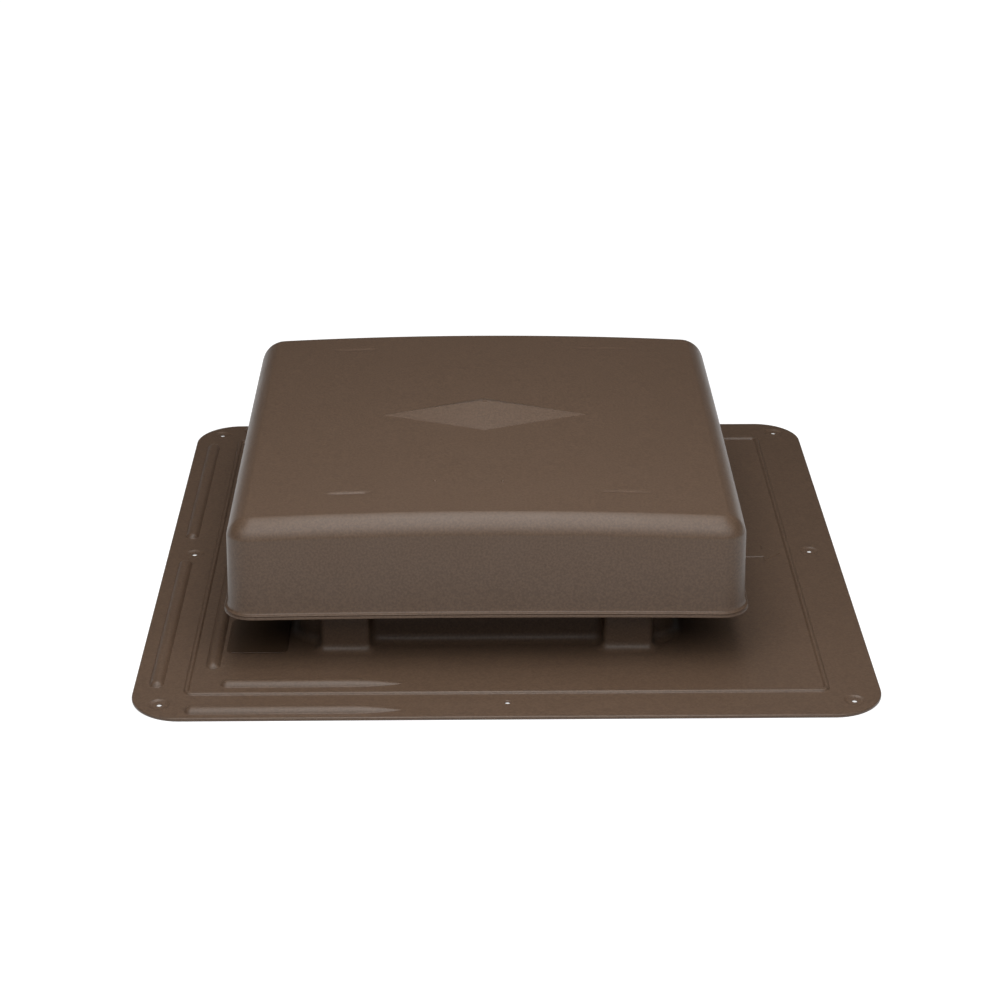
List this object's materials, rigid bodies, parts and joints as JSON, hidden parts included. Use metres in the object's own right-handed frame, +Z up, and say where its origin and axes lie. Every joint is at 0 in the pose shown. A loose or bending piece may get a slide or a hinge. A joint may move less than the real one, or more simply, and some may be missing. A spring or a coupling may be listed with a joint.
{
  "type": "attic vent",
  "caption": "Static plastic roof vent for an attic: flanged base with a throat and posts, an insect screen, and a drafted hood that keeps rain out.",
  "frame": {"origin": "middle of the flange's underside, which lies on the roof deck", "axes": "+Z up off the roof deck; +X up the slope, towards the side that goes under the shingles; +Y across the slope"},
  "size_m": [0.419, 0.419, 0.105],
  "materials": {
    "base_plastic": "brown polypropylene, fine moulded grain, semi-matt",
    "screen_plastic": "dark brown polypropylene, matt",
    "hood_plastic": "brown polypropylene, fine moulded grain, semi-matt"
  },
  "bodies": {
    "root": {"base": "base_plastic", "insect_screen": "screen_plastic", "hood": "hood_plastic"}
  },
  "joints": []
}
